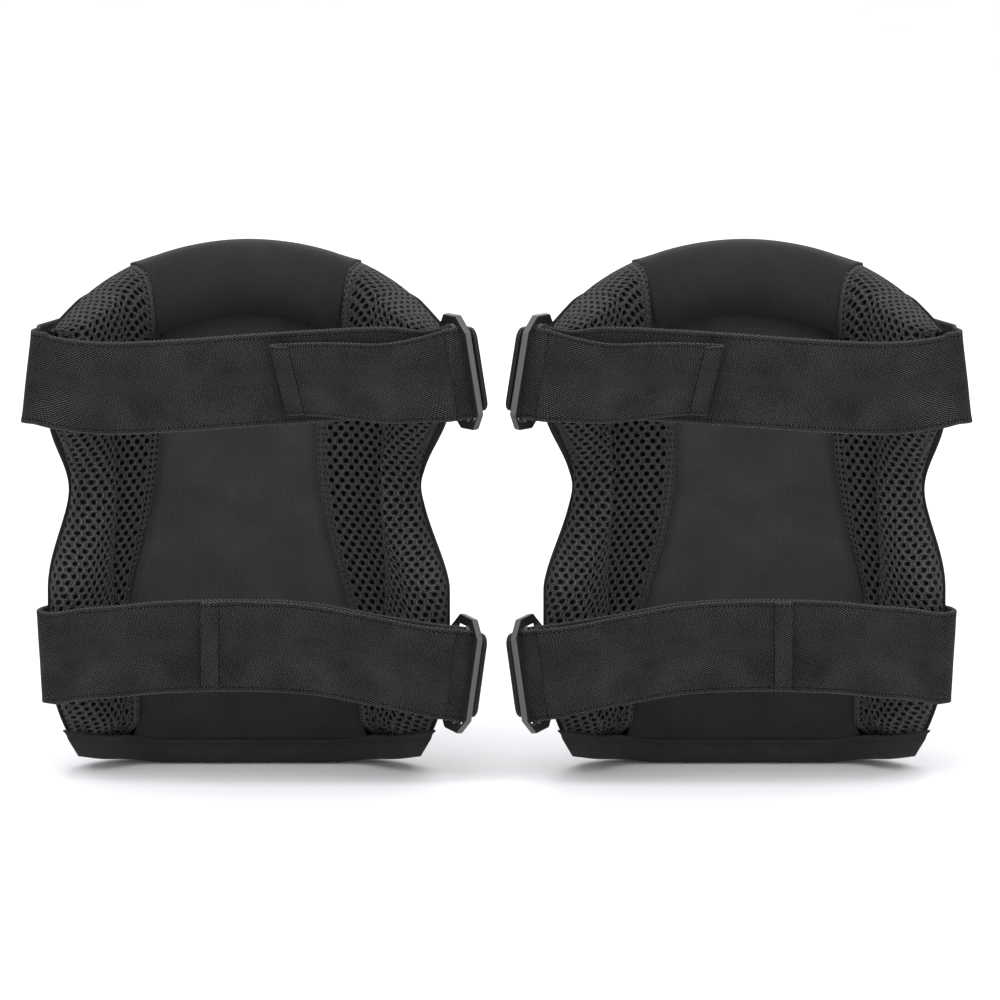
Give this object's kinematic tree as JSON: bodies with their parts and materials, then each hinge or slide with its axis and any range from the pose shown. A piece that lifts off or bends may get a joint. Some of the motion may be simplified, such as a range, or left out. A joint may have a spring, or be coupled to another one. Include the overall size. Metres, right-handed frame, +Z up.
{
  "type": "knee pads",
  "caption": "Pair of padded work knee pads with hard caps, mesh wings and elastic straps that hook shut behind the leg.",
  "frame": {"origin": "centre of the pair's footprint, on the surface the pads stand on", "axes": "+X across the pair from the left pad to the right one, +Y towards the kneeling side with the hard caps, +Z up towards the thigh end"},
  "size_m": [0.457, 0.1037, 0.2535],
  "materials": {
    "knit_lining": "matte",
    "spacer_mesh": "matte",
    "outer_cloth": "matte",
    "elastic": "matte",
    "webbing": "matte",
    "binding_tape": "matte",
    "hook_tape": "matte",
    "foam": "matte",
    "gel": "satin",
    "cap_plastic": "satin",
    "tread_rubber": "matte",
    "ring_plastic": "satin",
    "receiver_plastic": "satin"
  },
  "bodies": {
    "left_pad": {"left_centre_panel": "knit_lining", "left_mesh_strap_side": "spacer_mesh", "left_mesh_clip_side": "spacer_mesh", "left_foam_core": "foam", "left_gel_insert": "gel", "left_front_cover": "outer_cloth", "left_edge_binding": "binding_tape", "left_top_roll": "knit_lining", "left_upper_corners": "spacer_mesh", "left_bottom_roll": "knit_lining", "left_lower_corners": "spacer_mesh", "left_bottom_band": "binding_tape", "left_front_foam": "foam", "left_cap_shell": "cap_plastic", "left_cap_treads": "tread_rubber", "left_upper_anchor": "elastic", "left_lower_anchor": "elastic", "left_upper_webbing": "webbing", "left_lower_webbing": "webbing"},
    "left_upper_strap_body": {"left_upper_strap": "elastic"},
    "left_upper_end_body": {"left_upper_tab": "elastic", "left_upper_hooks": "hook_tape"},
    "left_upper_ring_body": {"left_upper_ring": "ring_plastic"},
    "left_upper_receiver_body": {"left_upper_receiver": "receiver_plastic"},
    "left_lower_strap_body": {"left_lower_strap": "elastic"},
    "left_lower_end_body": {"left_lower_tab": "elastic", "left_lower_hooks": "hook_tape"},
    "left_lower_ring_body": {"left_lower_ring": "ring_plastic"},
    "left_lower_receiver_body": {"left_lower_receiver": "receiver_plastic"},
    "right_pad": {"right_centre_panel": "knit_lining", "right_mesh_strap_side": "spacer_mesh", "right_mesh_clip_side": "spacer_mesh", "right_foam_core": "foam", "right_gel_insert": "gel", "right_front_cover": "outer_cloth", "right_edge_binding": "binding_tape", "right_top_roll": "knit_lining", "right_upper_corners": "spacer_mesh", "right_bottom_roll": "knit_lining", "right_lower_corners": "spacer_mesh", "right_bottom_band": "binding_tape", "right_front_foam": "foam", "right_cap_shell": "cap_plastic", "right_cap_treads": "tread_rubber", "right_upper_anchor": "elastic", "right_lower_anchor": "elastic", "right_upper_webbing": "webbing", "right_lower_webbing": "webbing"},
    "right_upper_strap_body": {"right_upper_strap": "elastic"},
    "right_upper_end_body": {"right_upper_tab": "elastic", "right_upper_hooks": "hook_tape"},
    "right_upper_ring_body": {"right_upper_ring": "ring_plastic"},
    "right_upper_receiver_body": {"right_upper_receiver": "receiver_plastic"},
    "right_lower_strap_body": {"right_lower_strap": "elastic"},
    "right_lower_end_body": {"right_lower_tab": "elastic", "right_lower_hooks": "hook_tape"},
    "right_lower_ring_body": {"right_lower_ring": "ring_plastic"},
    "right_lower_receiver_body": {"right_lower_receiver": "receiver_plastic"}
  },
  "joints": [
    {"name": "left_upper_strap_swing", "type": "hinge", "parent": "left_pad", "child": "left_upper_strap_body", "pos_m": [-0.22179, -0.03082, 0.1975], "axis": [0.1219, 0, 0.9925], "range_deg": [-110, 0]},
    {"name": "left_upper_end_peel", "type": "hinge", "parent": "left_upper_strap_body", "child": "left_upper_end_body", "pos_m": [-0.02331, -0.04401, 0.19885], "axis": [-0.153, 0, 0.9882], "range_deg": [0, 85]},
    {"name": "left_upper_ring_tilt", "type": "hinge", "parent": "left_upper_strap_body", "child": "left_upper_ring_body", "pos_m": [-0.0159, -0.04071, 0.2], "axis": [-0.153, 0, 0.9882], "range_deg": [0, 25]},
    {"name": "left_upper_receiver_flap", "type": "hinge", "parent": "left_pad", "child": "left_upper_receiver_body", "pos_m": [-0.01763, -0.02185, 0.19973], "axis": [-0.153, 0, 0.9882], "range_deg": [0, 7]},
    {"name": "left_lower_strap_swing", "type": "hinge", "parent": "left_pad", "child": "left_lower_strap_body", "pos_m": [-0.21634, -0.02013, 0.0601], "axis": [-0.0558, 0, 0.9984], "range_deg": [-110, 0]},
    {"name": "left_lower_end_peel", "type": "hinge", "parent": "left_lower_strap_body", "child": "left_lower_end_body", "pos_m": [-0.02333, -0.04401, 0.05452], "axis": [0.1357, 0, 0.9907], "range_deg": [0, 85]},
    {"name": "left_lower_ring_tilt", "type": "hinge", "parent": "left_lower_strap_body", "child": "left_lower_ring_body", "pos_m": [-0.0159, -0.04071, 0.0535], "axis": [0.1357, 0, 0.9907], "range_deg": [0, 25]},
    {"name": "left_lower_receiver_flap", "type": "hinge", "parent": "left_pad", "child": "left_lower_receiver_body", "pos_m": [-0.01764, -0.02185, 0.05374], "axis": [0.1357, 0, 0.9907], "range_deg": [0, 7]},
    {"name": "right_upper_strap_swing", "type": "hinge", "parent": "right_pad", "child": "right_upper_strap_body", "pos_m": [0.22179, -0.03082, 0.1975], "axis": [-0.1219, 0, 0.9925], "range_deg": [0, 110]},
    {"name": "right_upper_end_peel", "type": "hinge", "parent": "right_upper_strap_body", "child": "right_upper_end_body", "pos_m": [0.02331, -0.04401, 0.19885], "axis": [0.153, 0, 0.9882], "range_deg": [-85, 0]},
    {"name": "right_upper_ring_tilt", "type": "hinge", "parent": "right_upper_strap_body", "child": "right_upper_ring_body", "pos_m": [0.0159, -0.04071, 0.2], "axis": [0.153, 0, 0.9882], "range_deg": [-25, 0]},
    {"name": "right_upper_receiver_flap", "type": "hinge", "parent": "right_pad", "child": "right_upper_receiver_body", "pos_m": [0.01763, -0.02185, 0.19973], "axis": [0.153, 0, 0.9882], "range_deg": [-7, 0]},
    {"name": "right_lower_strap_swing", "type": "hinge", "parent": "right_pad", "child": "right_lower_strap_body", "pos_m": [0.21634, -0.02013, 0.0601], "axis": [0.0558, 0, 0.9984], "range_deg": [0, 110]},
    {"name": "right_lower_end_peel", "type": "hinge", "parent": "right_lower_strap_body", "child": "right_lower_end_body", "pos_m": [0.02333, -0.04401, 0.05452], "axis": [-0.1357, 0, 0.9907], "range_deg": [-85, 0]},
    {"name": "right_lower_ring_tilt", "type": "hinge", "parent": "right_lower_strap_body", "child": "right_lower_ring_body", "pos_m": [0.0159, -0.04071, 0.0535], "axis": [-0.1357, 0, 0.9907], "range_deg": [-25, 0]},
    {"name": "right_lower_receiver_flap", "type": "hinge", "parent": "right_pad", "child": "right_lower_receiver_body", "pos_m": [0.01764, -0.02185, 0.05374], "axis": [-0.1357, 0, 0.9907], "range_deg": [-7, 0]},
    {"name": "pads_apart", "type": "slide", "parent": "left_pad", "child": "right_pad", "axis": [1, 0, 0], "range_m": [0, 0.15]}
  ]
}
